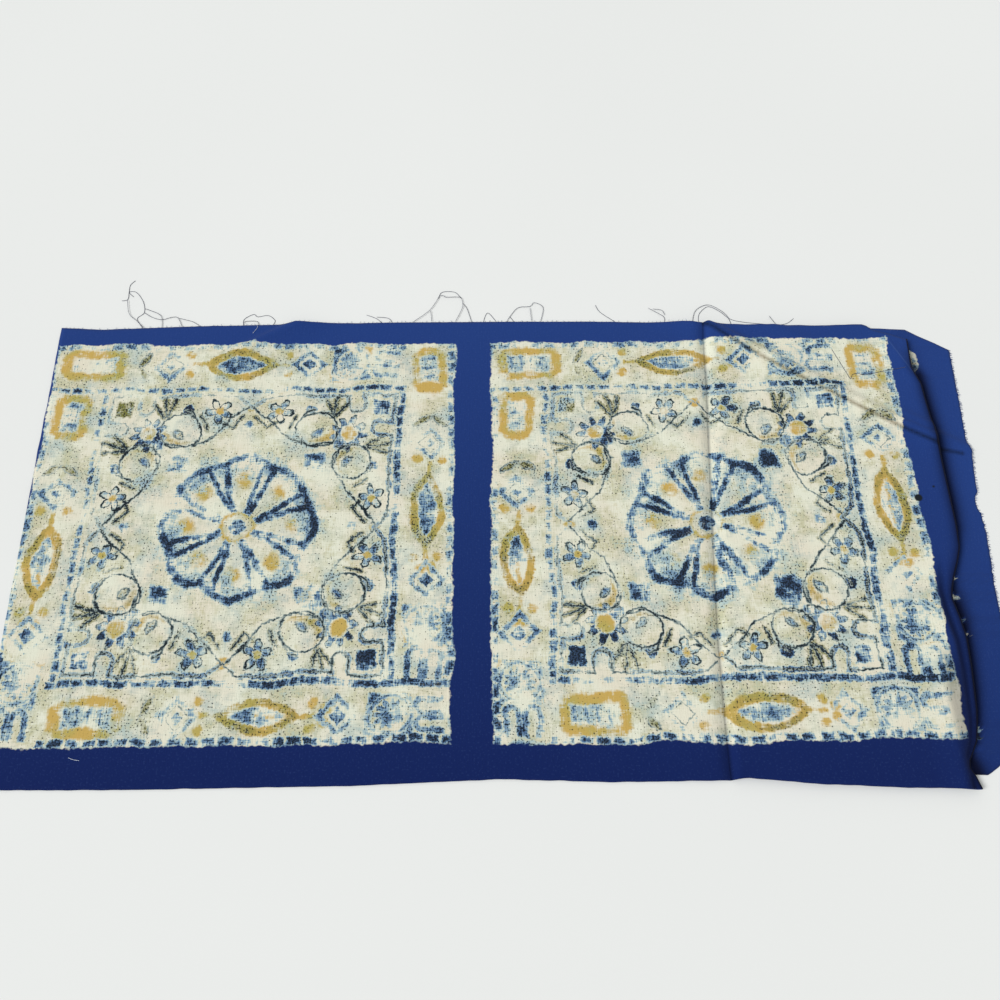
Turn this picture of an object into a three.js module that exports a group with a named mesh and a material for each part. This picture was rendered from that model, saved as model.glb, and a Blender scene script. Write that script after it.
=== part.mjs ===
// A printed cotton length, laid out flat with its third panel pleated back beneath the second.
// Millimetres, +Z up. The origin lies on the surface that the cloth rests on, below the middle
// of the blue gap between the two printed squares that show. +X runs along the cloth, +Y across it.

import * as THREE from "three";

// The sheet and the stack of three layers at its right end
const sheetThickness = 1;
const halfThickness = sheetThickness / 2;
const layerPitch = 1.6;
const tuckRadius = layerPitch / 2;
const foldSwell = 1.6;
const foldSwellRun = 26;

// Nominal reach of the rows across the cloth, which the tables' y values run through
const nearSide = -154;
const farSide = 149;

// Spaces between the points of the mesh, across the cloth and along its back and forth section
const rowSpaces = 24;
const spaces = { open: 34, step: 4, stack: 11, swell: 7, fold: 7, tuck: 6, border: 4 };
const swellShare = 0.17;
const stepRun = 2;

// Cut left end, by place across the cloth
const leftEnds = [
  { y: -154, x: -273 },
  { y: -77, x: -274 },
  { y: 0, x: -275.6 },
  { y: 60, x: -277.1 },
  { y: 110, x: -277.9 },
  { y: 149, x: -279 },
];

// Long edges of the top layer, near and far, at places along it.
// Past its far corner, the far edge runs in towards the right fold.
const topEdges = [
  { x: -277, near: -154.6, far: 146.6 },
  { x: -253, near: -155, far: 144.9 },
  { x: -185, near: -155.3, far: 147.2 },
  { x: -114, near: -154.6, far: 148.3 },
  { x: -65, near: -154.2, far: 149.2 },
  { x: 16, near: -151.3, far: 149.3 },
  { x: 78, near: -153.4, far: 149 },
  { x: 110, near: -153.2, far: 148.2 },
  { x: 142, near: -153.1, far: 147.1 },
  { x: 152, near: -152.1, far: 145.2 },
  { x: 187, near: -155.4, far: 143.7 },
  { x: 233, near: -157.8, far: 142.6 },
  { x: 264, near: -158.6, far: 143.3 },
  { x: 270, near: -158.9, far: 138.5 },
  { x: 280, near: -159.3, far: 134.6 },
  { x: 293, near: -159.5, far: 128.6 },
];

// Long edges of the bottom layer, whose end shows as a strip with cut-back corners
const lowEdges = [
  { x: 150, near: -149, far: 145.4 },
  { x: 187, near: -150.5, far: 143.7 },
  { x: 233, near: -151.5, far: 142.6 },
  { x: 272, near: -150.6, far: 142.3 },
  { x: 285, near: -151.5, far: 141.6 },
  { x: 293, near: -145.9, far: 140.8 },
  { x: 322, near: -123, far: 123.2 },
];

// Fold lines that cross the cloth: the crease at the foot of the step, the hidden tuck,
// the soft fold at the right, and the raw end of the bottom layer
const foldLines = [
  { y: -154, crease: 143, tuck: 148, fold: 278.8, end: 311.5 },
  { y: -142, crease: 142.8, tuck: 148, fold: 274.8, end: 311.8 },
  { y: -128, crease: 142.7, tuck: 148.1, fold: 281, end: 312 },
  { y: -116, crease: 142.9, tuck: 148.4, fold: 284, end: 312.1 },
  { y: -90, crease: 143.4, tuck: 149.2, fold: 286.6, end: 312.4 },
  { y: -66, crease: 144.1, tuck: 150.3, fold: 288, end: 312.9 },
  { y: -41, crease: 145.3, tuck: 152, fold: 284.8, end: 313.7 },
  { y: -27, crease: 146.2, tuck: 153.5, fold: 288, end: 314.3 },
  { y: -8, crease: 147.3, tuck: 155.3, fold: 295.1, end: 314.8 },
  { y: 18, crease: 148.8, tuck: 157.4, fold: 296.6, end: 314.3 },
  { y: 29, crease: 149.3, tuck: 158.6, fold: 296.6, end: 316.4 },
  { y: 59, crease: 151.2, tuck: 160.6, fold: 296.5, end: 317.8 },
  { y: 88, crease: 153.2, tuck: 161.6, fold: 295.9, end: 318 },
  { y: 105, crease: 154.2, tuck: 161.6, fold: 295, end: 318.4 },
  { y: 119, crease: 154.7, tuck: 161, fold: 292, end: 318.8 },
  { y: 126, crease: 154.9, tuck: 161, fold: 290.3, end: 318.7 },
  { y: 138, crease: 155.2, tuck: 160.5, fold: 291, end: 319 },
  { y: 149, crease: 155.5, tuck: 160, fold: 291.5, end: 319.8 },
];

// Pressed diagonal creases that stand up as ridges, from the far edge inward.
// The side away from the near edge drops off over the shorter run.
const ridges = [
  {
    start: [150, 150],
    end: [317, 51],
    gentleRun: 22,
    steepRun: 8,
    heights: [
      { share: 0, height: 5 },
      { share: 0.4, height: 2.8 },
      { share: 1, height: 3 },
    ],
  },
  {
    start: [-114.5, 150.7],
    end: [-214, 98],
    gentleRun: 20,
    steepRun: 8,
    heights: [
      { share: 0, height: 5 },
      { share: 0.45, height: 3.4 },
      { share: 1, height: 0 },
    ],
  },
];
const lowRidgeShare = 0.55;
const lowRidgeStart = 262;
const lowRidgeRun = 24;

// Small upright pleat beside the right fold, in the near half
const pleat = { setBack: 9, depth: 1.1, width: 2.6, start: 5, run: 45 };

// Loose yarns that hang on the raw far edge, one row of strands for each group
const yarnSize = 0.6;
const yarnSteps = 12;
const rootWidth = 1;
const rootGap = 0.45;
const hookStart = 0.6;
const yarnGroups = [
  {
    left: -232,
    right: -184,
    strands: [
      { root: -230, heading: 128, bend: -38, hook: 10, length: 26 },
      { root: -223, heading: 88, bend: 52, hook: -75, length: 43 },
      { root: -197, heading: 112, bend: 78, hook: -35, length: 24 },
      { root: -186, heading: 130, bend: 40, hook: 0, length: 9 },
    ],
  },
  {
    left: -158,
    right: -134,
    strands: [
      { root: -156, heading: 96, bend: -80, hook: -35, length: 22 },
      { root: -136, heading: 84, bend: 20, hook: 0, length: 5 },
    ],
  },
  {
    left: -64,
    right: 1,
    strands: [
      { root: -61, heading: 125, bend: 35, hook: 0, length: 12 },
      { root: -55, heading: 95, bend: 50, hook: 0, length: 7 },
      { root: -40, heading: 50, bend: 25, hook: -120, length: 38 },
      { root: -27, heading: 90, bend: 0, hook: 0, length: 6 },
      { root: -12, heading: 62, bend: 45, hook: 15, length: 20 },
      { root: -1, heading: 100, bend: 20, hook: 0, length: 13 },
    ],
  },
  {
    left: 5,
    right: 49,
    strands: [
      { root: 7, heading: 62, bend: 0, hook: 0, length: 7 },
      { root: 23, heading: 58, bend: -50, hook: 40, length: 28 },
      { root: 40, heading: 92, bend: 0, hook: 0, length: 7 },
      { root: 47, heading: 86, bend: 0, hook: 0, length: 10 },
    ],
  },
  {
    left: 94,
    right: 132,
    strands: [
      { root: 96, heading: 130, bend: -5, hook: -30, length: 17 },
      { root: 130, heading: 92, bend: 62, hook: 0, length: 14 },
    ],
  },
  {
    left: 172,
    right: 213,
    strands: [
      { root: 176, heading: 128, bend: 45, hook: 95, length: 27 },
      { root: 207, heading: 125, bend: 0, hook: 0, length: 6 },
      { root: 211.5, heading: 50, bend: -15, hook: 20, length: 9 },
    ],
  },
];

// Finishes
const clothFinish = { color: 0xb9bfae, roughness: 0.95, metalness: 0 };
const yarnFinish = { color: 0x3a3d52, roughness: 0.9, metalness: 0 };

const { lerp, smoothstep, degToRad } = THREE.MathUtils;

// Values of a table's columns at a place on its key column, in between the rows around it
function tableAt(table, key, place) {
  const last = table.length - 1;
  const above = table.findIndex((row) => row[key] >= place);
  const upper = above < 0 ? last : Math.max(above, 1);
  const low = table[upper - 1];
  const high = table[upper];
  const share = THREE.MathUtils.clamp((place - low[key]) / (high[key] - low[key]), 0, 1);
  const names = Object.keys(low);
  return Object.fromEntries(names.map((name) => [name, lerp(low[name], high[name], share)]));
}

// Evenly spaced places after one value, up to and with another
function spread(from, to, count) {
  return Array.from({ length: count }, (_, index) => lerp(from, to, (index + 1) / count));
}

// Height that one diagonal ridge adds at a point of the top layer
function ridgeHeight(ridge, x, y) {
  const [startX, startY] = ridge.start;
  const along = new THREE.Vector2(ridge.end[0] - startX, ridge.end[1] - startY);
  const length = along.length();
  along.normalize();
  const outward = along.x > 0 ? [-along.y, along.x] : [along.y, -along.x];
  const offset = (x - startX) * outward[0] + (y - startY) * outward[1];
  const share = ((x - startX) * along.x + (y - startY) * along.y) / length;
  const crest = tableAt(ridge.heights, "share", share).height;
  const gentle = smoothstep(offset, -ridge.gentleRun, 0);
  const steep = 1 - smoothstep(offset, 0, ridge.steepRun);
  return crest * Math.min(gentle, steep);
}

function ridgesAt(x, y) {
  return ridges.reduce((sum, ridge) => sum + ridgeHeight(ridge, x, y), 0);
}

// Height of the crease where it runs on across the strip and the layers just under the fold
function lowRidgeAt(x, y) {
  const grown = smoothstep(x, lowRidgeStart, lowRidgeStart + lowRidgeRun);
  return lowRidgeShare * grown * ridgeHeight(ridges[0], x, y);
}

function pleatAt(x, y, lines) {
  const offset = (x - (lines.fold - pleat.setBack)) / pleat.width;
  const strength = 1 - smoothstep(y, pleat.start - pleat.run, pleat.start);
  return -pleat.depth * strength * Math.exp(-offset * offset);
}

// Middle of the sheet's thickness in each layer
function lowHeight(x, y) {
  return halfThickness + lowRidgeAt(x, y);
}

function middleHeight(x, y) {
  return lowHeight(x, y) + layerPitch;
}

function topHeight(x, y, lines) {
  const onStack = smoothstep(x, lines.crease, lines.tuck + 1);
  const swell = smoothstep(x, lines.fold - foldSwellRun, lines.fold - foldSwell);
  return halfThickness
    + 2 * layerPitch * onStack
    + foldSwell * swell
    + Math.max(ridgesAt(x, y), lowRidgeAt(x, y))
    + pleatAt(x, y, lines);
}

// Half circle of the sheet's middle, turning down around the fold or the tuck
function turn(centreX, y, topZ, lowZ, side, count) {
  const radius = (topZ - lowZ) / 2;
  const centreZ = (topZ + lowZ) / 2;
  return spread(0, Math.PI, count).slice(0, -1).map((angle) => new THREE.Vector3(
    centreX + side * radius * Math.sin(angle),
    y,
    centreZ + radius * Math.cos(angle),
  ));
}

// One row of the sheet: the top layer, the fold, the middle layer, the tuck and the bottom layer
function rowSection(share) {
  const nominalY = lerp(nearSide, farSide, share);
  const lines = tableAt(foldLines, "y", nominalY);
  const leftEnd = tableAt(leftEnds, "y", nominalY).x;
  const edgeAt = (edges, x) => {
    const edge = tableAt(edges, "x", x);
    return lerp(edge.near, edge.far, share);
  };
  const stackStart = lines.tuck + stepRun;
  const swellHeight = topHeight(lines.fold - foldSwell, edgeAt(topEdges, lines.fold), lines);
  const foldY = edgeAt(topEdges, lines.fold);
  const foldRadius = (swellHeight - middleHeight(lines.fold, foldY)) / 2;
  const foldX = lines.fold - halfThickness - foldRadius;
  const swellX = lerp(foldX, stackStart, swellShare);
  const stack = [...spread(stackStart, swellX, spaces.stack), ...spread(swellX, foldX, spaces.swell)];

  const open = [
    leftEnd,
    ...spread(leftEnd, lines.crease, spaces.open),
    ...spread(lines.crease, stackStart, spaces.step),
    ...stack,
  ];
  const top = open.map((x) => {
    const y = edgeAt(topEdges, x);
    return new THREE.Vector3(x, y, topHeight(x, y, lines));
  });
  const topEnd = top[top.length - 1];

  const tuckX = lines.tuck + halfThickness + tuckRadius;
  const tuckY = edgeAt(lowEdges, tuckX);
  const back = [foldX, ...stack.slice(0, -1).reverse(), stackStart, tuckX];
  const middle = back.map((x) => {
    const y = lerp(tuckY, topEnd.y, (x - tuckX) / (foldX - tuckX));
    return new THREE.Vector3(x, y, middleHeight(x, y));
  });

  const forth = [tuckX, stackStart, ...stack, ...spread(foldX, lines.end, spaces.border)];
  const low = forth.map((x) => {
    const y = edgeAt(lowEdges, x);
    return new THREE.Vector3(x, y, lowHeight(x, y));
  });

  return [
    ...top,
    ...turn(foldX, topEnd.y, topEnd.z, middle[0].z, 1, spaces.fold),
    ...middle,
    ...turn(tuckX, tuckY, middle[middle.length - 1].z, low[0].z, -1, spaces.tuck),
    ...low,
  ];
}

// Direction that the printed face looks at a point of the grid
function faceDirection(grid, row, column) {
  const rowBefore = grid[Math.max(row - 1, 0)][column];
  const rowAfter = grid[Math.min(row + 1, grid.length - 1)][column];
  const columnBefore = grid[row][Math.max(column - 1, 0)];
  const columnAfter = grid[row][Math.min(column + 1, grid[row].length - 1)];
  const along = columnAfter.clone().sub(columnBefore);
  const across = rowAfter.clone().sub(rowBefore);
  return along.cross(across).normalize();
}

// Closed sheet of even thickness around a grid of points
function closedSheet(grid, thickness) {
  const rows = grid.length;
  const columns = grid[0].length;
  const positions = [];
  for (const side of [0.5, -0.5]) {
    grid.forEach((points, row) => points.forEach((point, column) => {
      const place = faceDirection(grid, row, column).multiplyScalar(side * thickness).add(point);
      positions.push(place.x, place.y, Math.max(place.z, 0));
    }));
  }
  const backStart = rows * columns;
  const indices = [];
  const quad = (a, b, c, d) => indices.push(a, b, c, a, c, d);
  for (let row = 0; row < rows - 1; row += 1) {
    for (let column = 0; column < columns - 1; column += 1) {
      const corner = row * columns + column;
      const loop = [corner, corner + 1, corner + 1 + columns, corner + columns];
      const [a, b, c, d] = loop.map((index) => index + backStart);
      quad(...loop);
      quad(a, d, c, b);
    }
  }
  const rim = [
    ...Array.from({ length: columns - 1 }, (_, step) => step),
    ...Array.from({ length: rows - 1 }, (_, step) => step * columns + columns - 1),
    ...Array.from({ length: columns - 1 }, (_, step) => rows * columns - 1 - step),
    ...Array.from({ length: rows - 1 }, (_, step) => (rows - 1 - step) * columns),
  ];
  rim.forEach((index, place) => {
    const next = rim[(place + 1) % rim.length];
    quad(index, index + backStart, next + backStart, next);
  });
  const geometry = new THREE.BufferGeometry();
  geometry.setAttribute("position", new THREE.Float32BufferAttribute(positions, 3));
  geometry.setIndex(indices);
  geometry.computeVertexNormals();
  return geometry;
}

function clothMesh() {
  const grid = Array.from({ length: rowSpaces + 1 }, (_, row) => rowSection(row / rowSpaces));
  const geometry = closedSheet(grid, sheetThickness);
  const mesh = new THREE.Mesh(geometry, new THREE.MeshStandardMaterial(clothFinish));
  mesh.name = "cloth";
  return mesh;
}

const rootLine = (x) => tableAt(topEdges, "x", x).far + rootGap;

// Centre points and headings of one loose yarn, which bends evenly and then hooks
function yarnPath(strand) {
  const step = strand.length / yarnSteps;
  const points = [];
  let x = strand.root;
  let y = rootLine(strand.root) + rootWidth;
  for (let index = 0; index <= yarnSteps; index += 1) {
    const share = index / yarnSteps;
    const hooked = Math.max(share - hookStart, 0) / (1 - hookStart);
    const heading = degToRad(strand.heading + strand.bend * share + strand.hook * hooked);
    points.push({ x, y, heading });
    x += step * Math.cos(heading);
    y += step * Math.sin(heading);
  }
  return points;
}

// Right and left side of a yarn as seen from its root, which sits level on the root strip
function yarnSides(strand) {
  const half = yarnSize / 2;
  const side = (point, index, sign) => {
    if (index === 0) {
      return new THREE.Vector2(point.x + (sign * half) / Math.sin(point.heading), point.y);
    }
    return new THREE.Vector2(
      point.x + sign * half * Math.sin(point.heading),
      point.y - sign * half * Math.cos(point.heading),
    );
  };
  const path = yarnPath(strand);
  const right = path.map((point, index) => side(point, index, 1));
  const left = path.map((point, index) => side(point, index, -1)).reverse();
  return [...right, ...left];
}

// Root strip and its strands as one flat comb that lies on the surface
function yarnMesh(group, number) {
  const corner = (x, offset) => new THREE.Vector2(x, rootLine(x) + offset);
  const bends = topEdges.map((edge) => edge.x).filter((x) => x > group.left && x < group.right);
  const near = [group.left, ...bends, group.right].map((x) => corner(x, 0));
  const strands = [...group.strands].reverse().flatMap(yarnSides);
  const outline = [...near, corner(group.right, rootWidth), ...strands, corner(group.left, rootWidth)];
  const flatShape = new THREE.Shape(outline);
  const geometry = new THREE.ExtrudeGeometry(flatShape, { depth: yarnSize, bevelEnabled: false });
  const mesh = new THREE.Mesh(geometry, new THREE.MeshStandardMaterial(yarnFinish));
  mesh.name = `edge_yarns_${number}`;
  return mesh;
}

const panel = new THREE.Group();
panel.add(clothMesh());
yarnGroups.forEach((group, index) => panel.add(yarnMesh(group, index + 1)));

export default panel;
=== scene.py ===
"""A printed cotton length, laid out flat with its third panel pleated back beneath the second.

Sizes are millimetres, as in the solids, and become metres where meshes are made.
The print is drawn by shader nodes in the flat cloth's own coordinates, so it follows the folds.
"""

import math
import random

import bpy
from mathutils import Matrix, Vector, noise


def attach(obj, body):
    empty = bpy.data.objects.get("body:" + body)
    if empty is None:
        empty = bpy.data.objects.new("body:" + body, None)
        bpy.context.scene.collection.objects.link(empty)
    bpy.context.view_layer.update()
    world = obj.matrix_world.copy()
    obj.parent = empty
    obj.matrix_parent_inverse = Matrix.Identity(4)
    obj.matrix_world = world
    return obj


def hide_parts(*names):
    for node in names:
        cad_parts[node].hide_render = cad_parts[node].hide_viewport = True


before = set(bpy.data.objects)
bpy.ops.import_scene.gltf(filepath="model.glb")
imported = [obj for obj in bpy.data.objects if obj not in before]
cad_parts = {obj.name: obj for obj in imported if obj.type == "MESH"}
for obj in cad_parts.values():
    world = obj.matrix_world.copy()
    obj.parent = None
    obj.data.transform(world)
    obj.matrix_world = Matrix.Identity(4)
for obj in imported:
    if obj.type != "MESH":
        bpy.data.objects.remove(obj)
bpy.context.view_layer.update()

MM = 0.001

# Camera, as fitted to the two printed squares
CAMERA_PLACE = (14.63, -218.46, 528.8)
CAMERA_PITCH = 66.01
CAMERA_YAW = 0.64
CAMERA_ROLL = 0.17
CAMERA_LENS = 33.415
CAMERA_SENSOR = 36

# The sheet and the stack of three layers at its right end
THICKNESS = 0.45
HALF = THICKNESS / 2
LAYER_PITCH = 1.6
TUCK_RADIUS = LAYER_PITCH / 2
NEAR_SIDE = -154
FAR_SIDE = 149

# Swell of the top layer at the fold: height, and how far before the fold it starts and is full
FOLD_SWELL = 1.6
FOLD_SWELL_RUN = 26
FOLD_SWELL_END = 1.6

# The print's squares along the cloth
PANEL_PITCH = 287.7
PANEL_HALF = 132.5
THIRD_PANEL_END = 1.5 * PANEL_PITCH + PANEL_HALF

# Rows of the mesh across the cloth, and its columns in each stretch along the cloth
ROWS = 136
COLUMNS = {
    "open": 150,
    "crease": 16,
    "step": 8,
    "stack": 42,
    "swell": 24,
    "fold": 10,
    "hidden": 20,
    "tuck": 6,
    "border": 18,
}

# Stretches with finer columns: before the crease, on the step, and the stack's share at the fold
CREASE_REACH = 8
STEP_RUN = 2
SWELL_SHARE = 0.19

# Long edges of the top layer: place along the cloth, near edge, far edge.
# Past its far corner, the far edge runs in towards the right fold.
TOP_EDGES = [
    (-277, -154.6, 146.6), (-253, -155, 144.9), (-185, -155.3, 147.2), (-114, -154.6, 148.3),
    (-65, -154.2, 149.2), (16, -151.3, 149.3), (78, -153.4, 149), (110, -153.2, 148.2),
    (142, -153.1, 147.1), (152, -152.1, 145.2), (187, -155.4, 143.7), (233, -157.8, 142.6),
    (264, -158.6, 143.3), (270, -158.9, 138.5), (280, -159.3, 134.6), (293, -159.5, 128.6),
]

# Long edges of the bottom layer, whose end shows as a strip with cut-back corners
LOW_EDGES = [
    (150, -149, 145.4), (187, -150.5, 143.7), (233, -151.5, 142.6), (272, -150.6, 142.3),
    (285, -151.5, 141.6), (293, -145.9, 140.8), (322, -123, 123.2),
]

# Lines that cross the cloth. The first column is the nominal place across it.
LEFT_EDGE = [(-154, -273), (-77, -274), (0, -275.6), (60, -277.1), (110, -277.9), (149, -279)]
CREASE = [
    (-154, 143), (-128, 142.7), (-78, 143.6), (-39, 145.4), (2, 147.9), (59, 151.2),
    (105, 154.2), (149, 155.5),
]
TUCK = [(-154, 148), (-78, 149.5), (-39, 152.2), (2, 156.2), (59, 160.6), (105, 161.6), (149, 160)]
FOLD = [
    (-154, 278.8), (-147.2, 276.8), (-142.4, 274.5), (-137.9, 275.4), (-133.4, 278),
    (-127.6, 281.1), (-119.5, 283.1), (-109, 285), (-85, 287.1), (-66, 288), (-54, 286.7),
    (-41.8, 284.5), (-36.5, 285.3), (-26.7, 288.3), (-15.9, 292.4), (-5.6, 295.6), (10, 296.6),
    (73, 296.6), (102, 294.9), (113.4, 294.3), (120.8, 291.5), (124.3, 290.3), (149, 291.5),
]
RAW_END = [
    (-154, 311.5), (-64, 312.6), (-49, 313), (-34, 314.2), (-11, 315.6), (4, 315), (11, 313.2),
    (18, 313.9), (21, 316), (41, 317.1), (57, 318.1), (65, 316.7), (92, 318), (149, 319.8),
]

# Right edge of the third square on the bottom layer, hidden under the fold: place across, along
HIDDEN_PRINT_EDGE = [(-160, 272), (-100, 281), (-70, 282), (-45, 280), (-20, 287), (0, 290), (130, 287)]

# Bits of it that peep out past the fold: place across, half length, place along
PEEPING_BITS = [
    (-137, 2.3, 286.4), (-131.5, 2.3, 287.2), (-126, 2.3, 287.6), (-72, 1.7, 291.4),
    (-63, 1.6, 291.4), (-49, 2.6, 290.6), (-37, 2.4, 291.8), (115.5, 12, 299),
]
BOTTOM_SLIP = 5

# Pressed diagonal creases that stand up as ridges: two ends, how far the gentle and the steep
# side run down, and the crest's height by its share of the way from end to end
RIDGES = [
    {"ends": [(150, 150), (317, 42.5)], "runs": (22, 5), "heights": [(0, 5), (0.4, 2.8), (1, 3)]},
    {"ends": [(-114.5, 150.7), (-214, 98)], "runs": (20, 6), "heights": [(0, 5), (0.45, 3.4), (1, 0)]},
    {
        "ends": [(276, 131), (291, 100)],
        "runs": (9, 6),
        "heights": [(-0.1, 0), (0.1, 1), (1, 1.2), (1.4, 0)],
    },
    {
        "ends": [(198, 146), (236, 126)],
        "runs": (14, 5),
        "heights": [(-0.1, 1.2), (0.6, 0.8), (1, 0)],
    },
]
GENTLE_POWER = 2
STEEP_POWER = 1.5

# Part of the first ridge that the bottom layer has too, from just before the fold
LOW_RIDGE = RIDGES[0] | {"ends": [(150, 150), (317, 51)]}
LOW_RIDGE_SHARE = 0.55
LOW_RIDGE_START = 262
LOW_RIDGE_RUN = 24

# The open part lifts a little before the crease and dips where it meets the stack
CREASE_SWELL = 1.1
CREASE_DIP_RUN = 7
CREASE_SWELL_RUN = 45

# Narrow valley between the print and the right fold: place across, place along
VALLEY = [
    (-141, 274.2), (-133, 277.6), (-122, 279.9), (-96, 282), (-76, 282.2), (-59, 279.3),
    (-45, 278.5), (-23, 281.8),
]
VALLEY_DEPTH = 1.5
VALLEY_WIDTH = 2.2
VALLEY_START = -14
VALLEY_RUN = 34

# Fine wrinkles of the top layer: length along, length across, height and seed
WRINKLES = [(70, 34, 0.5, 1.85), (19, 26, 0.22, 0.814)]

# Fine unevenness of the four edges: height, length and seed
EDGE_WAVES = {
    "near": (0.35, 9, 11),
    "far": (0.35, 9, 17),
    "left": (0.4, 12, 5),
    "raw_end": (0.8, 3, 23),
}

# Painted shade at the folds, in the valley, corner and crease, and painted shadow that the fold casts
# on the strip: share, reach, and the stretches over which it comes or goes
SHADE_SHIFT = 1
FOLD_SHADE = 0.95
FOLD_SHADE_REACH = 5
FOLD_SHADE_LOST = 0.85
FOLD_SHADE_FADE = (106, 130)
LOW_SHADE_REACH = 6
PRINT_SHADES = (0.2, 0.9)
PRINT_SHADE_RISE = (60, 100)
VALLEY_SHADE = 0.8
VALLEY_SHADE_REACH = 2.6
VALLEY_SHADE_FADE = (-50, -20)
CORNER_SHADE = 0.5
CORNER_SHADE_RISE = (267, 273)
CORNER_SHADE_FADE = (-96, -74)
CREASE_SHADE = 0.6
CREASE_SHADE_REACH = 0.9
DIP_SHADE = 0.35
DIP_SHADE_REACH = 4


def lerp(low, high, share):
    return low + (high - low) * share


def clamp(value):
    return min(max(value, 0), 1)


def smooth(value, low, high):
    """Soft step from 0 at one value to 1 at the other."""
    share = clamp((value - low) / (high - low))
    return share * share * (3 - 2 * share)


def bump(value, middle, reach):
    """Soft rise to 1 around a middle."""
    return math.exp(-(((value - middle) / reach) ** 2))


def between(stations, place):
    """Values at a place along rows that start with their own place, in between two of them."""
    last = len(stations) - 1
    upper = max(next((index for index, row in enumerate(stations) if row[0] >= place), last), 1)
    low, high = stations[upper - 1], stations[upper]
    share = clamp((place - low[0]) / (high[0] - low[0]))
    values = [lerp(a, b, share) for a, b in zip(low[1:], high[1:])]
    return values if len(values) > 1 else values[0]


def spread(start, end, count):
    """Evenly spaced places after one value, up to and with another."""
    return [lerp(start, end, (step + 1) / count) for step in range(count)]


def wave(x, y, seed):
    """Smooth unevenness between about -1 and 1."""
    return noise.noise(Vector((x, y, seed)))


def edge_wave(edge, x=0, y=0):
    """How far an edge strays at a place along it."""
    height, length, seed = EDGE_WAVES[edge]
    return height * wave(x / length, y / length, seed)


def ridge_height(ridge, x, y):
    """Height of a pressed crease, with a gentle side and a steep side."""
    (start_x, start_y), (end_x, end_y) = ridge["ends"]
    gentle_run, steep_run = ridge["runs"]
    along = Vector((end_x - start_x, end_y - start_y))
    length = along.length
    along.normalize()
    outward = Vector((-along.y, along.x)) if along.x > 0 else Vector((along.y, -along.x))
    place = Vector((x - start_x, y - start_y))
    offset = place.dot(outward)
    crest = between(ridge["heights"], place.dot(along) / length)
    gentle = clamp(1 + offset / gentle_run) ** GENTLE_POWER
    steep = clamp(1 - offset / steep_run) ** STEEP_POWER
    return crest * min(gentle, steep)


def low_ridge(x, y):
    """Height of the first ridge in the bottom layer."""
    grown = smooth(x, LOW_RIDGE_START, LOW_RIDGE_START + LOW_RIDGE_RUN)
    return LOW_RIDGE_SHARE * grown * ridge_height(LOW_RIDGE, x, y)


def crease_swell(x, crease):
    """Height of the open part before the crease, which dips again at the crease itself."""
    distance = crease - x
    if distance <= 0:
        return 0
    rise = 1 - max(1 - distance / CREASE_DIP_RUN, 0) ** 2
    return CREASE_SWELL * rise * (1 - smooth(distance, CREASE_DIP_RUN, CREASE_SWELL_RUN))


def valley_height(x, y):
    """Depth of the valley beside the fold, below 0."""
    strength = 1 - smooth(y, VALLEY_START - VALLEY_RUN, VALLEY_START)
    return -VALLEY_DEPTH * strength * bump(x, between(VALLEY, y), VALLEY_WIDTH)


def wrinkle_height(x, y):
    """Height of the fine wrinkles."""
    return sum(
        height * (1 + wave(x / long, y / wide, seed)) / 2 for long, wide, height, seed in WRINKLES
    )


def low_height(x, y):
    """Middle of the bottom layer's thickness."""
    return HALF + low_ridge(x, y)


def middle_height(x, y):
    """Middle of the middle layer's thickness."""
    return low_height(x, y) + LAYER_PITCH


def top_height(x, y, nominal):
    """Middle of the top layer's thickness: flat, stepped up on to the stack, swollen at the fold."""
    crease, tuck, fold = (between(line, nominal) for line in (CREASE, TUCK, FOLD))
    climb = clamp((x - crease) / (tuck + STEP_RUN / 2 - crease))
    on_stack = 1 - (1 - climb) ** 2
    swell = smooth(x, fold - FOLD_SWELL_RUN, fold - FOLD_SWELL_END)
    ridges = sum(ridge_height(ridge, x, y) for ridge in RIDGES)
    return (
        HALF
        + 2 * LAYER_PITCH * on_stack
        + FOLD_SWELL * swell
        + crease_swell(x, crease)
        + max(ridges, low_ridge(x, y))
        + valley_height(x, y)
        + wrinkle_height(x, y)
    )


def fold_depth(y):
    """Share of the fold's full shade, which fades out towards the far corner."""
    return 1 - FOLD_SHADE_LOST * smooth(y, *FOLD_SHADE_FADE)


def top_shade(x, y, crease, fold):
    """Painted shade on the top layer: at its fold, in the valley, corner and crease."""
    on_fold = FOLD_SHADE * bump(x, fold + SHADE_SHIFT, FOLD_SHADE_REACH) * fold_depth(y)
    in_valley = VALLEY_SHADE * bump(x, between(VALLEY, y), VALLEY_SHADE_REACH)
    in_valley *= 1 - smooth(y, *VALLEY_SHADE_FADE)
    in_corner = CORNER_SHADE * smooth(x, *CORNER_SHADE_RISE)
    in_corner *= 1 - smooth(y, *CORNER_SHADE_FADE)
    in_dip = DIP_SHADE * bump(x, crease - SHADE_SHIFT, DIP_SHADE_REACH) * (x < crease)
    in_crease = CREASE_SHADE * max(bump(x, crease, CREASE_SHADE_REACH), in_dip)
    return max(on_fold, in_valley, in_corner, in_crease)


def surface_height(x, y):
    """Height of the top layer's upper face."""
    near, far = between(TOP_EDGES, x)
    nominal = lerp(NEAR_SIDE, FAR_SIDE, (y - near) / (far - near))
    return top_height(x, y, nominal) + HALF


def edge_place(edges, x, share):
    """Place across the cloth of one row, with the long edges slightly uneven."""
    near, far = between(edges, x)
    return lerp(near + edge_wave("near", x=x), far + edge_wave("far", x=x), share)


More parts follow.
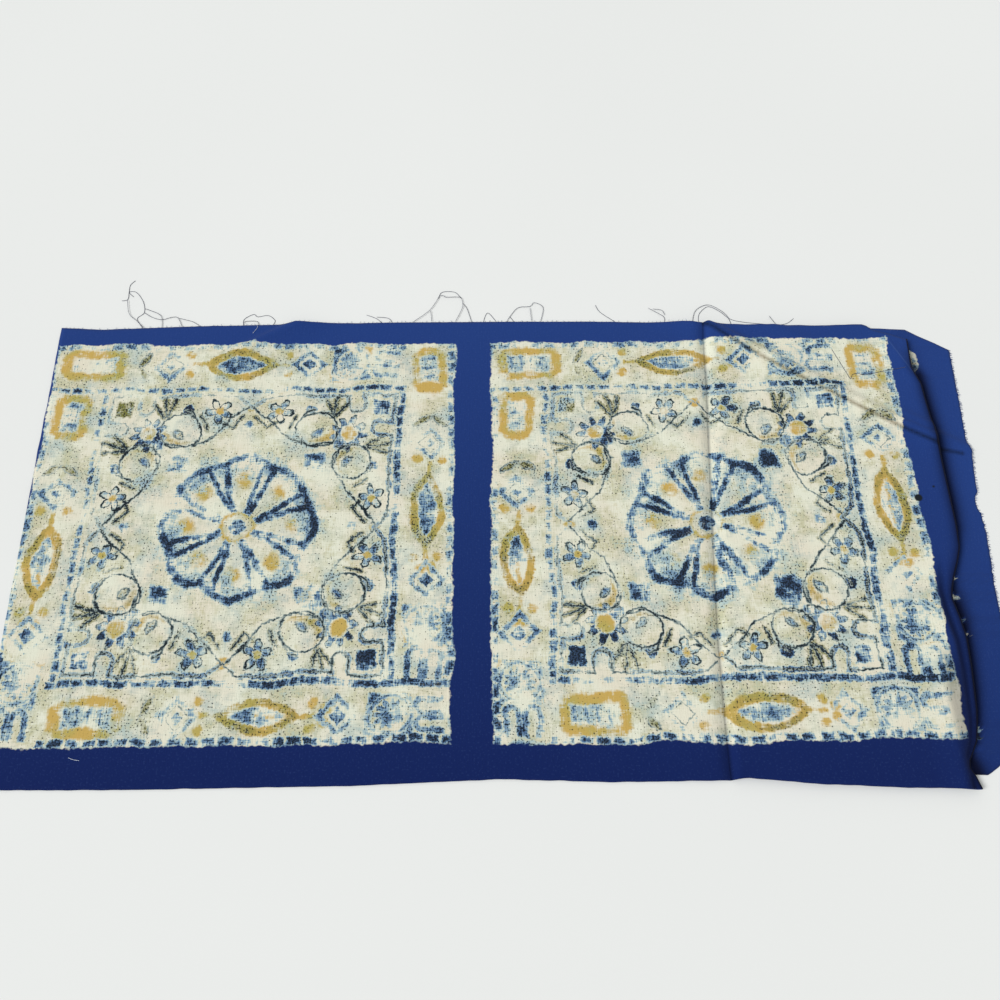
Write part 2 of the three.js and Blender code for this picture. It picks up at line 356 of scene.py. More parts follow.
def turned(centre_x, y, top_z, low_z, side, count, first_u):
    """Half circle around the fold or the tuck, without its two ends, in full painted shade."""
    radius = (top_z - low_z) / 2
    centre_z = (top_z + low_z) / 2
    return [
        (
            centre_x + side * radius * math.sin(angle),
            y,
            centre_z + radius * math.cos(angle),
            first_u + radius * angle,
            y,
            1,
        )
        for angle in spread(0, math.pi, count)[:-1]
    ]


def hidden_print_edge(y):
    """Place along the bottom layer where the third square ends, with its bits that peep out."""
    hidden = between(HIDDEN_PRINT_EDGE, y)
    reaches = [
        (x - hidden) * math.sqrt(1 - ((y - middle) / half) ** 2)
        for middle, half, x in PEEPING_BITS
        if abs(y - middle) < half
    ]
    return hidden + max(reaches, default=0)


def low_points(places, share, low_u, tuck_x, fold):
    """Points of the bottom layer, whose print ends at the edge that peeps out at the fold."""
    points = []
    for x in places:
        y = edge_place(LOW_EDGES, x, share)
        print_edge = hidden_print_edge(y)
        if x < print_edge:
            u = lerp(low_u, THIRD_PANEL_END, (x - tuck_x) / (print_edge - tuck_x))
        else:
            u = THIRD_PANEL_END + x - print_edge
        # Painted shadow that the fold casts on the strip, weaker on the print bits that peep out,
        # except towards the far corner
        print_shade = lerp(*PRINT_SHADES, smooth(y, *PRINT_SHADE_RISE))
        shade = fold_depth(y) * bump(x, fold + SHADE_SHIFT, LOW_SHADE_REACH)
        shade *= lerp(print_shade, 1, clamp(x - print_edge))
        points.append((x, y, low_height(x, y), u, y + BOTTOM_SLIP * share, shade))
    return points


def top_places(left, crease, stack_start, fold_x):
    """Places along the top layer, closest together at the crease and the fold."""
    swell_x = lerp(fold_x, stack_start, SWELL_SHARE)
    return [
        left,
        *spread(left, crease - CREASE_REACH, COLUMNS["open"]),
        *spread(crease - CREASE_REACH, crease, COLUMNS["crease"]),
        *spread(crease, stack_start, COLUMNS["step"]),
        *spread(stack_start, swell_x, COLUMNS["stack"]),
        *spread(swell_x, fold_x, COLUMNS["swell"]),
    ]


def top_points(places, share, nominal, crease, fold):
    """Points of the top layer."""
    points = []
    for x in places:
        y = edge_place(TOP_EDGES, x, share)
        points.append((x, y, top_height(x, y, nominal), x, y, top_shade(x, y, crease, fold)))
    return points


def middle_points(fold_end, tuck_end, first_u):
    """Points of the hidden middle layer, straight back from the fold to the tuck."""
    (fold_x, fold_y), (tuck_x, tuck_y) = fold_end, tuck_end
    points = []
    for x in [fold_x, *spread(fold_x, tuck_x, COLUMNS["hidden"])]:
        y = lerp(tuck_y, fold_y, (x - tuck_x) / (fold_x - tuck_x))
        points.append((x, y, middle_height(x, y), first_u + fold_x - x, y, 0))
    return points


def row_section(share):
    """One row of the sheet: x, y, z, the flat cloth's own two coordinates, and shade."""
    nominal = lerp(NEAR_SIDE, FAR_SIDE, share)
    crease, tuck, fold = (between(line, nominal) for line in (CREASE, TUCK, FOLD))
    left = between(LEFT_EDGE, nominal) + edge_wave("left", y=nominal)
    raw_end = between(RAW_END, nominal) + edge_wave("raw_end", y=nominal)
    fold_y = edge_place(TOP_EDGES, fold, share)
    swell_z = top_height(fold - FOLD_SWELL_END, fold_y, nominal)
    fold_radius = (swell_z - middle_height(fold, fold_y)) / 2
    fold_x = fold - HALF - fold_radius

    places = top_places(left, crease, tuck + STEP_RUN, fold_x)
    top = top_points(places, share, nominal, crease, fold)
    top_y, top_z = top[-1][1:3]
    middle_z = middle_height(fold_x, top_y)
    fold_turn = turned(fold_x, top_y, top_z, middle_z, 1, COLUMNS["fold"], fold_x)

    tuck_x = tuck + HALF + TUCK_RADIUS
    tuck_y = edge_place(LOW_EDGES, tuck_x, share)
    middle_u = fold_x + math.pi * (top_z - middle_z) / 2
    middle = middle_points((fold_x, top_y), (tuck_x, tuck_y), middle_u)
    tuck_u = middle[-1][3]

    low_places = [tuck_x, *spread(tuck_x, fold_x, COLUMNS["hidden"])]
    low_places += spread(fold_x, raw_end, COLUMNS["border"])
    low = low_points(low_places, share, tuck_u + math.pi * TUCK_RADIUS, tuck_x, fold)
    tuck_turn = turned(tuck_x, tuck_y, middle[-1][2], low[0][2], -1, COLUMNS["tuck"], tuck_u)
    return [*top, *fold_turn, *middle, *tuck_turn, *low]


def new_object(name, vertices, faces, materials):
    """Mesh object from places in millimetres, with smooth faces."""
    mesh = bpy.data.meshes.new(name)
    mesh.from_pydata([(x * MM, y * MM, z * MM) for x, y, z in vertices], [], faces)
    mesh.polygons.foreach_set("use_smooth", [True] * len(faces))
    for material in materials:
        mesh.materials.append(material)
    piece = bpy.data.objects.new(name, mesh)
    bpy.context.collection.objects.link(piece)
    return piece


def face_directions(grid):
    """Direction that the printed face looks at each point of the grid."""
    last_row, last_column = len(grid) - 1, len(grid[0]) - 1
    directions = []
    for row, points in enumerate(grid):
        before_row, after_row = grid[max(row - 1, 0)], grid[min(row + 1, last_row)]
        for column in range(last_column + 1):
            before, after = points[max(column - 1, 0)], points[min(column + 1, last_column)]
            along = Vector(after[:3]) - Vector(before[:3])
            across = Vector(after_row[column][:3]) - Vector(before_row[column][:3])
            directions.append(along.cross(across).normalized())
    return directions


def sheet_vertices(points, directions):
    """Places on the printed face and then on the back, none of them below the ground."""
    vertices = []
    for side in (HALF, -HALF):
        for point, direction in zip(points, directions):
            place = Vector(point[:3]) + direction * side
            vertices.append((place.x, place.y, max(place.z, 0)))
    return vertices


def sheet_faces(rows, columns):
    """Faces of the printed side, of the back, and of the rim that joins them."""
    count = rows * columns
    face_quads, back_quads = [], []
    for row in range(rows - 1):
        for column in range(columns - 1):
            a = row * columns + column
            b, c, d = a + 1, a + 1 + columns, a + columns
            face_quads.append((a, b, c, d))
            back_quads.append((a + count, d + count, c + count, b + count))
    last = count - columns
    rim = [
        *range(columns - 1),
        *range(columns - 1, count - 1, columns),
        *range(count - 1, last, -1),
        *range(last, 0, -columns),
    ]
    rim_quads = [(a, a + count, b + count, b) for a, b in zip(rim, [*rim[1:], rim[0]])]
    return face_quads, back_quads, rim_quads


def closed_sheet(name, grid, materials):
    """Closed sheet of even thickness around a grid that also holds its flat places and shade."""
    points = [point for row in grid for point in row]
    vertices = sheet_vertices(points, face_directions(grid))
    face_quads, back_quads, rim_quads = sheet_faces(len(grid), len(grid[0]))
    piece = new_object(name, vertices, [*face_quads, *back_quads, *rim_quads], materials)
    slots = [0] * len(face_quads) + [1] * len(back_quads) + [0] * len(rim_quads)
    piece.data.polygons.foreach_set("material_index", slots)
    flat = piece.data.uv_layers.new(name="flat_place")
    for loop in piece.data.loops:
        u, v = points[loop.vertex_index % len(points)][3:5]
        flat.data[loop.index].uv = (u * MM, v * MM)
    shade = piece.data.attributes.new("shade", "FLOAT", "POINT")
    shade.data.foreach_set("value", [point[5] for point in points] * 2)
    return piece


def linear(red, green, blue):
    """Shader colour from the usual 0 to 255 values."""
    parts = [value / 255 for value in (red, green, blue)]
    return [p / 12.92 if p <= 0.04045 else ((p + 0.055) / 1.055) ** 2.4 for p in parts] + [1]


class Output:
    """One output of a shader node, whose value varies over the surface."""

    def __init__(self, tree, socket):
        self.tree = tree
        self.socket = socket

    def feed(self, socket):
        self.tree.links.new(self.socket, socket)


class Field(Output):
    """A number that varies over the surface."""

    def math(self, operation, *others, clamped=False):
        node = self.tree.nodes.new("ShaderNodeMath")
        node.operation = operation
        node.use_clamp = clamped
        for socket, value in zip(node.inputs, (self, *others)):
            put(value, socket)
        return Field(self.tree, node.outputs[0])

    def __add__(self, other):
        return self.math("ADD", other)

    def __sub__(self, other):
        return self.math("SUBTRACT", other)

    def __mul__(self, other):
        return self.math("MULTIPLY", other)

    def __abs__(self):
        return self.math("ABSOLUTE")

    def scaled(self, factor, shift=0, clamped=False):
        return self.math("MULTIPLY_ADD", factor, shift, clamped=clamped)

    def least(self, *others):
        result = self
        for other in others:
            result = result.math("MINIMUM", other)
        return result

    def most(self, *others):
        result = self
        for other in others:
            result = result.math("MAXIMUM", other)
        return result

    def zigzag(self, half_period):
        """Distance from the nearest whole period, from 0 up to half a period and back."""
        return self.math("PINGPONG", half_period)

    def ink(self, half_width=0.0, softness=1.2):
        """Share of ink, where this is the distance from a line's middle or a shape's edge."""
        return self.scaled(-1 / softness, 0.5 + half_width / softness, clamped=True)

    def switched(self, other, share):
        """This field, or the other one where the share is 1."""
        return (other - self).math("MULTIPLY_ADD", share, self)


class Place(Output):
    """A point that varies over the surface."""

    def node(self, operation, *others):
        node = self.tree.nodes.new("ShaderNodeVectorMath")
        node.operation = operation
        for socket, value in zip(node.inputs, (self, *others)):
            put(value, socket)
        return node

    def vector(self, operation, *others):
        return Place(self.tree, self.node(operation, *others).outputs["Vector"])

    def number(self, operation, *others):
        return Field(self.tree, self.node(operation, *others).outputs["Value"])

    def distance(self, x, y):
        return self.number("DISTANCE", (x, y, 0))

    def dot(self, x, y):
        return self.number("DOT_PRODUCT", (x, y, 0))

    def times(self, x, y):
        return self.vector("MULTIPLY", (x, y, 0))

    def moved(self, unevennesses, reach):
        """This place, drawn aside by up to about the reach."""
        centred = unevennesses.vector("ADD", (-0.5, -0.5, 0))
        return centred.vector("MULTIPLY_ADD", (reach, reach, 0), self)

    def parts(self):
        node = self.tree.nodes.new("ShaderNodeSeparateXYZ")
        self.feed(node.inputs[0])
        return [Field(self.tree, socket) for socket in node.outputs]

    def stroke(self, start, end):
        """Distance from a straight stroke between two points."""
        run = (end[0] - start[0], end[1] - start[1])
        square = run[0] ** 2 + run[1] ** 2
        begin = -(start[0] * run[0] + start[1] * run[1]) / square
        share = self.dot(run[0] / square, run[1] / square).math("ADD", begin, clamped=True)
        nearest = Place(self.tree, share.socket).vector("MULTIPLY_ADD", (*run, 0), (*start, 0))
        return self.number("DISTANCE", nearest)

    def path(self, points):
        """Distance from a chain of straight strokes."""
        return least_of([self.stroke(start, end) for start, end in zip(points, points[1:])])

    def paths(self, *chains):
        """Distance from the nearest of several chains."""
        return least_of([self.path(chain) for chain in chains])

    def lens(self, first, second, radius):
        """Distance from the edge of the leaf shape where two circles overlap."""
        return self.distance(*first).most(self.distance(*second)) - radius

    def petals(self, x, y, count, core, reach, turn=0.0):
        """Distance from the edge of a flower whose round petals reach out from its core."""
        across, up, _ = self.vector("ADD", (-x, -y, 0)).parts()
        angle = up.math("ARCTAN2", across)
        edge = abs(angle.scaled(count / 2, turn).math("COSINE")).scaled(reach, core)
        return self.distance(x, y) - edge


def put(value, socket):
    """Links a field or place to a socket, or sets the socket's own value."""
    if isinstance(value, Output):
        value.feed(socket)
    else:
        socket.default_value = value


def least_of(fields):
    """Least of several fields."""
    return fields[0].least(*fields[1:])


def joined(x, y):
    """Place from two fields."""
    node = x.tree.nodes.new("ShaderNodeCombineXYZ")
    put(x, node.inputs[0])
    put(y, node.inputs[1])
    return Place(x.tree, node.outputs[0])


def flat_place(tree):
    """Place on the flat cloth in millimetres."""
    node = tree.nodes.new("ShaderNodeUVMap")
    node.uv_map = "flat_place"
    return Place(tree, node.outputs[0]).times(1 / MM, 1 / MM)


def mesh_field(tree, name):
    """Number that the mesh holds at each of its points."""
    node = tree.nodes.new("ShaderNodeAttribute")
    node.attribute_name = name
    return Field(tree, node.outputs["Fac"])


def noise_node(place, scale, detail):
    """Noise over a place."""
    node = place.tree.nodes.new("ShaderNodeTexNoise")
    node.noise_dimensions = "2D"
    place.feed(node.inputs["Vector"])
    node.inputs["Scale"].default_value = scale
    node.inputs["Detail"].default_value = detail
    return node


def unevenness(place, scale, detail=1.0):
    """Noise around one half."""
    return Field(place.tree, noise_node(place, scale, detail).outputs["Fac"])


def three_unevennesses(place, scale, detail=1.0):
    """Three unlike noises around one half."""
    return Place(place.tree, noise_node(place, scale, detail).outputs["Color"])


def mixed(share, low, high, blend="MIX"):
    """Colour between two others."""
    node = share.tree.nodes.new("ShaderNodeMix")
    node.data_type = "RGBA"
    node.blend_type = blend
    put(share, node.inputs["Factor"])
    put(low, node.inputs[6])
    put(high, node.inputs[7])
    return Place(share.tree, node.outputs[2])


def ramp(share, stops):
    """Colour that runs through several stops."""
    node = share.tree.nodes.new("ShaderNodeValToRGB")
    elements = node.color_ramp.elements
    while len(elements) < len(stops):
        elements.new(1)
    for element, (position, color) in zip(elements, stops):
        element.position = position
        element.color = color
    put(share, node.inputs[0])
    return Place(share.tree, node.outputs[0])


# Print colours, with tints for painted shade, highlight and sheen among them
CREAM = linear(223, 224, 205)
WARM_CREAM = linear(222, 216, 196)
AQUA_WASH = linear(160, 178, 174)
OLIVE_WASH = linear(172, 170, 126)
GOLD = linear(195, 164, 90)
OLIVE_GOLD = linear(173, 164, 92)
OLIVE = linear(118, 118, 62)
NEAR_BLACK = linear(24, 30, 36)
BLUES = [
    (0.0, linear(198, 212, 202)),
    (0.25, linear(167, 187, 187)),
    (0.5, linear(116, 146, 171)),
    (0.75, linear(74, 104, 140)),
    (0.95, linear(46, 62, 86)),
]
GREYS = [
    (0.0, linear(194, 200, 188)),
    (0.4, linear(136, 150, 146)),
    (0.75, linear(72, 88, 94)),
    (1.0, linear(32, 40, 46)),
]
# Ground blue at the near and the far edge; the far one is paler as painted sheen
GROUND_NEAR = linear(14, 32, 86)
GROUND_FAR = linear(32, 60, 124)
# Pale flecks of the ground, also the painted highlight along the pale crease
FLECK_AND_HIGHLIGHT = linear(70, 96, 150)
# Painted shade along the diagonal creases
CREASE_SHADOW_TINT = linear(150, 138, 122)
# Painted shade at the folds, valley, corner and crease
DEEP_SHADE = linear(78, 80, 96)
BACK_CREAM = linear(212, 210, 194)
BACK_GHOST = linear(150, 168, 184)
BACK_BLUE = linear(34, 52, 118)
BACK_PALE_BLUE = linear(62, 88, 150)

# Medallion in the middle of each of the print's squares
PETALS = 8
PETAL_MIDDLE = 27
PETAL_HALF_LENGTH = 15
PETAL_SLANT = 0.14
PETAL_INSET = 1.2
PATCH_RADIUS = 32
HUB_RADIUS = 5
HUB_RING_RADIUS = 9.5
RIM_RADIUS = 45.5
RIM_SCALLOP = 1.6
HALO_RADIUS = 42
HALO_HALF_WIDTH = 8

# Garland in one eighth of a square: place beside the middle line, place out from the middle
VINE = [(2, 84), (12, 75), (22, 64), (40, 55), (52, 58)]
STALK = [(33, 72), (36, 80), (41, 82)]
SPIKES = [[(53, 78), (50, 90)], [(54, 78), (57, 91)], [(55, 77), (63, 86)]]
SPRIGS = [[(4, 77), (11, 68), (17, 72)], [(27, 68), (31, 77)]]
LOOP = (44, 67)
LOOP_RADIUS = 12.5
CRESCENT = (41, 71)
CRESCENT_OUTER = 11.4
CRESCENT_INNER = 10.6
FLOWER = (19.5, 80.5)
FLOWER_PETALS = {"count": 5, "core": 3.2, "reach": 6.2, "turn": 0.4}
BUD = (39.5, 81.5)
BUD_RADIUS = 3.6
LEAF_CIRCLES = [(41.7, 66.3), (46.3, 61.7)]
LEAF_RADIUS = 5.6
SIDE_FRUIT = (0, 84)
SIDE_FRUIT_RADIUS = 3.4
BLOSSOM = (64, 64)
BLOSSOM_PETALS = {"count": 9, "core": 6.4, "reach": 6.2, "turn": 0.6}
BLOSSOM_HEART = (65, 65)
INNER_LEAF = (57, 56.5)
INNER_LEAF_RADIUS = 4

# Frame of a square's field, and the small blocks and spots inside it
FRAME_LINE = 92
FRAME_END = 97
KEYHOLE = (68.5, 84)
KEYHOLE_RADIUS = 5
CORNER_BLOCK = (83, 83.5)
CORNER_BLOCK_HALF = 4.8
INNER_BLOCK = (42.5, 43.5)
INNER_BLOCK_HALF = 5.2
BLOT = (48, -46)
BLOT_RADIUS = 7.5
SIDE_SPOT = (0, 70)
SIDE_SPOT_RADIUS = 3

# Border bands: places along a band start at its own corner, places across at its middle
BAND_START = 94.5
BAND_INNER = 99.5
BAND_MIDDLE = 116
BAND_CENTRE = 115.75
BAND_SHIFT = 16.75
CARTOUCHE_START = 4.5
CARTOUCHE_HALF_LENGTH = 17
CARTOUCHE_EXTRA = 4
CARTOUCHE_HALF_WIDTH = 11.8
WINDOW_HALF_WIDTH = 6.2
WINDOW_INSET = 6.6
BAR_PITCH = 3.4
BAND_LEAF_CIRCLES = [(66, 1), (52, 10)]
BAND_LEAF_RADIUS = 10.5
DIAMOND = 76
EYE_CIRCLE = (122, -22.9)
EYE_RADIUS = 33.9
EYE_HALF_LENGTH = 33
GEM = 167
ROSETTE = 196
ROSETTE_PETALS = {"count": 12, "core": 6, "reach": 3.4}
ROSETTE_BLOCK_HALF = 13
ARCH = (215, 5.5)
ARCH_RADIUS = 4
ARCH_END = 226
BAND_DOTS = [(88, 8), (153, 7), (160, 3)]
BAND_DOT_RADIUS = 3
INNER_DASH_PITCH = 4.2
INNER_DASH_LINE = -19.2
OUTER_DASH_PITCH = 4.8
OUTER_DASH_LINE = 14.2

# Unevenness of the print: lengths over which it varies, and how far the drawing wanders
WANDER_LENGTH = 34
WANDER = 7
JITTER_LENGTH = 2.6
JITTER = 2.2
WORN_LENGTH = 22
BLOTCH_LENGTH = 5
SPECK_LENGTH = 1.1
BACK_BLOTCH_LENGTH = 12

# Cotton finish, threads and weave
SPECULAR = 0.12
SHEEN_ROUGHNESS = 0.5
COTTON_ROUGHNESS = 0.95
COTTON_SHEEN = 0.03
THREAD_LENGTH = 6
THREAD_WIDTH = 0.9
THREAD_SHARE = 1.5
WEAVE_TURN = 12.6
WEAVE_SHARE = 0.25
WEAVE_STRENGTH = 0.5
WEAVE_DEPTH = 0.2

# Painted shade along the diagonal creases, a painted highlight along a pale crease, and dark spots with
# their radius, on the flat cloth
CREASE_SHADOW_LINE = [(156, 144), (190, 118.5), (250, 79.5), (277, 62.5), (298, 49.5)]
STRIP_CREASE_SHADOW_LINE = [(566, 55), (587, 50)]
CREASE_HIGHLIGHT_LINE = [(277, 131), (289.5, 103)]
DARK_SPOTS = [(276.5, 14.5, 2.4), (286.9, 21.6, 0.7)]


def medallion(place, x, y):
    """Blue and gold of eight looped petals around a hub, inside a scalloped rim."""
    half_petal = math.pi / PETALS
    radius = place.distance(0, 0)
    from_gap = y.math("ARCTAN2", x).scaled(1 / half_petal).zigzag(1).scaled(half_petal)
    beside_gap = radius * from_gap.math("SINE")
    beside_axis = radius * from_gap.scaled(-1, half_petal).math("SINE")
    loop_side = abs(beside_axis - radius.scaled(PETAL_SLANT, -PETAL_INSET))
    petal = loop_side.most(abs(radius - PETAL_MIDDLE) - PETAL_HALF_LENGTH)
    rim = abs(radius - from_gap.scaled(PETALS).math("COSINE").scaled(RIM_SCALLOP, RIM_RADIUS))
    halo = (abs(radius - HALO_RADIUS) - HALO_HALF_WIDTH).ink(0, 14)
    blue = petal.ink(1.8, 1.8).most((radius - HUB_RADIUS).ink(0, 1.6)) * 0.82
    blue = blue.most(rim.ink(2.6, 2.6) * from_gap.scaled(-1, 1))
    patch = joined(radius - PATCH_RADIUS, beside_gap).distance(0, 0)
    gold = patch.ink(5, 4).most(abs(radius - HUB_RING_RADIUS).ink(1.2, 2)) * 0.85
    return blue.most(halo * 0.3), gold


def garland(eighth, quarter):
    """Blue, gold, olive and grey of the vine with its leaves and flowers, in one eighth."""
    to_loop = eighth.distance(*LOOP)
    vine = eighth.path(VINE).least(abs(to_loop - LOOP_RADIUS))
    to_crescent = eighth.distance(*CRESCENT)
    crescent = (to_loop - CRESCENT_OUTER).most(to_crescent.scaled(-1, CRESCENT_INNER))
    flower = eighth.petals(*FLOWER, **FLOWER_PETALS)
    to_flower = eighth.distance(*FLOWER)
    bud = eighth.distance(*BUD) - BUD_RADIUS
    leaf = eighth.lens(*LEAF_CIRCLES, LEAF_RADIUS)
    spikes = eighth.paths(*SPIKES)
    sprigs = eighth.paths(*SPRIGS)
    fruit = eighth.distance(*SIDE_FRUIT) - SIDE_FRUIT_RADIUS
    blossom = quarter.petals(*BLOSSOM, **BLOSSOM_PETALS)
    to_blossom = quarter.distance(*BLOSSOM_HEART)
    inner_leaf = quarter.distance(*INNER_LEAF) - INNER_LEAF_RADIUS

    grey = vine.least(eighth.path(STALK)).ink(0.6, 1.2) * 0.8
    grey = grey.most(abs(flower + 0.7).ink(0.6, 1.2), abs(leaf).ink(0.5, 1.2) * 0.7)
    grey = grey.most(spikes.least(sprigs).ink(0.5, 1.2) * 0.9, abs(blossom).ink(0.4, 1) * 0.7)
    blue = bud.ink(0, 1.4) * 0.9
    blue = blue.most(flower.most(to_flower.scaled(-1, 2.8)).ink(0, 1.2) * 0.5)
    blue = blue.most(blossom.most(to_blossom.scaled(-1, 6)).ink(0, 1.2) * 0.75)
    blue = blue.most(inner_leaf.ink(0, 2) * 0.75, leaf.ink(0, 1.4) * 0.5)
    blue = blue.most(vine.least(abs(flower)).ink(0, 6) * 0.42)
    gold = (to_blossom - 5).least(to_flower - 2.6, fruit).ink(0, 2)
    gold = gold.most(crescent.ink(-0.6, 2.4) * 0.6) * 0.85
    olive = spikes.ink(1.8, 2).most(sprigs.ink(1.4, 1.8)) * 0.8
    olive = olive.most(leaf.ink(0.6, 2) * 0.5, crescent.ink(-1, 3) * 0.3)
    return {"blue": blue, "gold": gold, "olive": olive, "grey": grey}


def frame_distance(low, high):
    """Distance from the thin frame line, with its keyholes and the openings in its middles."""
    below_keyhole = (high - KEYHOLE[1]).math("MINIMUM", 0)
    keyhole = joined(low - KEYHOLE[0], below_keyhole).distance(0, 0)
    opening = (high.scaled(0.75, -63) - low.scaled(0.68)).most(keyhole.scaled(-1, KEYHOLE_RADIUS))
    return abs((high - FRAME_LINE).most(opening)).most(high - FRAME_END)


def block_edge(low, high, middle, half):
    """Distance from the edge of a small upright block."""
    return abs(low - middle[0]).most(abs(high - middle[1])) - half


def field_inks(place, press):
    """Inks inside the frame."""
    x, y, _ = place.parts()
    across, up = abs(x), abs(y)
    low, high = across.least(up), across.most(up)
    eighth = joined(low, high)
    medal_blue, medal_gold = medallion(place, x, y)
    leaves = garland(eighth, joined(across, up))

    to_far_left = (y - x).scaled(1 / 150, -0.1, clamped=True)
    corner_block = block_edge(low, high, CORNER_BLOCK, CORNER_BLOCK_HALF)
    inner_block = block_edge(low, high, INNER_BLOCK, INNER_BLOCK_HALF)
    blot = place.distance(*BLOT) - BLOT_RADIUS
    side_spot = eighth.distance(*SIDE_SPOT) - SIDE_SPOT_RADIUS
    frame_line = frame_distance(low, high)

    blue = medal_blue.most(leaves["blue"])
    blue = blue.most(corner_block.ink(0, 1.6) * to_far_left.scaled(-0.7, 0.95))
    blue = blue.most(inner_block.ink(0, 3) * to_far_left.scaled(-0.25, 0.78))
    blue = blue.most(blot.ink(0, 5) * 0.8, side_spot.ink(0, 2) * 0.6)
    blue = blue.most(frame_line.ink(1.4, 1.6) * press.scaled(0.45, 0.28))
    grey = leaves["grey"].most(frame_line.ink(0.4, 1.2) * press.scaled(0.5, 0.35))
    olive = leaves["olive"].most(corner_block.ink(0, 2) * to_far_left)
    olive = olive.most(inner_block.ink(-1, 3) * 0.4)
    return {"blue": blue, "gold": medal_gold.most(leaves["gold"]), "olive": olive, "grey": grey}


def band_place(x, y):
    """Place along and across the border band that owns a point, and whether it runs level."""
    side_x, side_y = x.math("SIGN"), y.math("SIGN")
    level = abs(y).math("GREATER_THAN", BAND_START) * (side_y * x).math("LESS_THAN", BAND_INNER)
    along_level = x + side_y.scaled(BAND_SHIFT, BAND_CENTRE)
    along_upright = side_x.scaled(BAND_SHIFT, BAND_CENTRE) - y
    along = along_upright.switched(along_level, level)
    across = (abs(x) - BAND_MIDDLE).switched(abs(y) - BAND_MIDDLE, level)
    return along, across, level


def cartouche(along, side, level):
    """Gold frame around a pale window with plain bars."""
    half_length = level.scaled(CARTOUCHE_EXTRA, CARTOUCHE_HALF_LENGTH)
    past_end = abs(along - half_length - CARTOUCHE_START) - half_length
    box = past_end.most(side - CARTOUCHE_HALF_WIDTH, (past_end + side - 6.5).scaled(0.7))
    window = (past_end + WINDOW_INSET).most(side - WINDOW_HALF_WIDTH)
    bars = (along.zigzag(BAR_PITCH) - 1.2).most(window + 1.2)
    gold = box.most(window.scaled(-1)).ink(0, 3)
    blue = (window.ink(0, 1.6) * 0.26).most(bars.ink(0, 2) * 0.58)
    return blue, gold


def rosette(band, along, side):
    """Pale petalled round in a broken block."""
    from_middle = band.distance(ROSETTE, 0)
    petals = band.petals(ROSETTE, 0, **ROSETTE_PETALS)
    block = abs(along - ROSETTE).most(side) - ROSETTE_BLOCK_HALF
    blue = (petals.ink(0, 1.6) * 0.42).most(abs(from_middle - 11.6).ink(1.2, 1.8) * 0.46)
    blue = blue.most(block.most(from_middle.scaled(-1, 13)).ink(0, 2) * 0.48)
    gold = block.most(from_middle.scaled(-1, 14.5)).ink(0, 2) * 0.6
    return blue, gold


def dashes(along, pitch, half_length, from_line, half_width):
    """Distance from the dashes of a broken line along the band."""
    return (along.zigzag(pitch) - half_length).most(abs(from_line) - half_width)


def border_inks(place, press):
    """Inks of the border bands, which run round the square one way."""
    x, y, _ = place.parts()
    along, across, level = band_place(x, y)
    side = abs(across)
    band = joined(along, side)

    blue, gold = cartouche(along, side, level)
    round_blue, round_gold = rosette(band, along, side)
    leaf = band.lens(*BAND_LEAF_CIRCLES, BAND_LEAF_RADIUS)
    diamond = abs(along - DIAMOND) + side.scaled(0.9)
    eye = band.distance(*EYE_CIRCLE) - EYE_RADIUS
    eye_tip = (side - 1.4).most(abs(along - EYE_CIRCLE[0]) - EYE_HALF_LENGTH)
    gem = abs(along - GEM) + side
    to_arch = joined((along - ARCH[0]).math("MINIMUM", 0), side - ARCH[1]).distance(0, 0)
    arch = abs(to_arch - ARCH_RADIUS).most(along - ARCH_END)
    dots = least_of([band.distance(*dot) for dot in BAND_DOTS]) - BAND_DOT_RADIUS
    toward_near = y.scaled(-1 / 125, 0, clamped=True)
    inner_dashes = dashes(
        along, INNER_DASH_PITCH, press.scaled(1, 3), across - INNER_DASH_LINE, press.scaled(0.6, 1.5)
    )
    outer_dashes = dashes(along, OUTER_DASH_PITCH, 3.6, across - OUTER_DASH_LINE, 1.9)

    blue = blue.most(round_blue, (eye + 5.4).ink(0, 2) * 0.52)
    blue = blue.most((abs(diamond - 9.6).least(abs(gem - 10))).ink(2.2, 2.6) * 0.52)
    blue = blue.most((diamond - 3.4).ink(0, 1.6) * 0.62, (gem - 4.8).ink(0, 1.2) * 0.8)
    blue = blue.most(arch.ink(1.8, 1.4) * 0.5, inner_dashes.ink(0, 1.8) * press.scaled(0.2, 0.6))
    blue = blue.most(outer_dashes.ink(0, 1.8) * toward_near.scaled(0.4, 0.42))
    gold = gold.most(round_gold, abs(eye + 2.5).ink(2.4, 1.6), eye_tip.ink(0, 1.4) * 0.7)
    gold = gold.most(dots.ink(0, 2) * 0.9)
    olive = (leaf.ink(0, 2.4) * 0.7).most(abs(eye + 2.2).ink(2, 2) * 0.42)
    grey = abs(leaf).least(abs(diamond - 6.5)).ink(0.4, 1.2) * 0.45
    return {"blue": blue, "gold": gold, "olive": olive, "grey": grey}


def along_panel(x):
    """Distance along the cloth from the middle of the nearest of the three squares."""
    from_start = (x + PANEL_PITCH).math("MINIMUM", 3 * PANEL_PITCH - 1)
    return from_start.math("FLOORED_MODULO", PANEL_PITCH) - PANEL_PITCH / 2


def worn_share(ink, tooth, strength=1.14):
    """Ink that reached the cloth: it misses threads and worn places, and spatters a little."""
    grip = ink.scaled(0.6, 0.16)
    return ink.scaled(strength, tooth * grip).math("SUBTRACT", 0.13, clamped=True)


